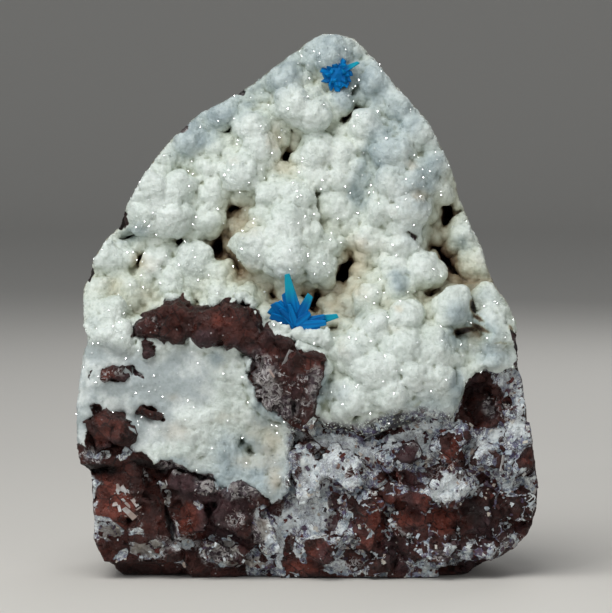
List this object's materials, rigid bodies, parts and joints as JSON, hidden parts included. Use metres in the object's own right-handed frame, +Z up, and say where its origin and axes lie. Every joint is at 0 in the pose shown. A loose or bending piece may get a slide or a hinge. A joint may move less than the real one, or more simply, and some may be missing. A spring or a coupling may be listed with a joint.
{
  "type": "cavansite mineral specimen",
  "caption": "Upright hand specimen: blue cavansite crystals on a lumpy white zeolite crust over red-brown basalt breccia, with a flat base to stand on.",
  "frame": {"origin": "middle of the specimen's bounding box at the height of its flat base", "axes": "+Z up from the base to the apex; the crystal-bearing front faces -Y; +X to the right as seen from the front"},
  "size_m": [0.0678, 0.0388, 0.08],
  "materials": {
    "basalt": "broken, matt to faintly waxy",
    "zeolite": "fine drusy sparkle",
    "cavansite": "vitreous to pearly"
  },
  "bodies": {
    "root": {"basalt_matrix": "basalt", "zeolite_crust": "zeolite", "cavansite_spray": "cavansite", "cavansite_rosette": "cavansite"}
  },
  "joints": []
}
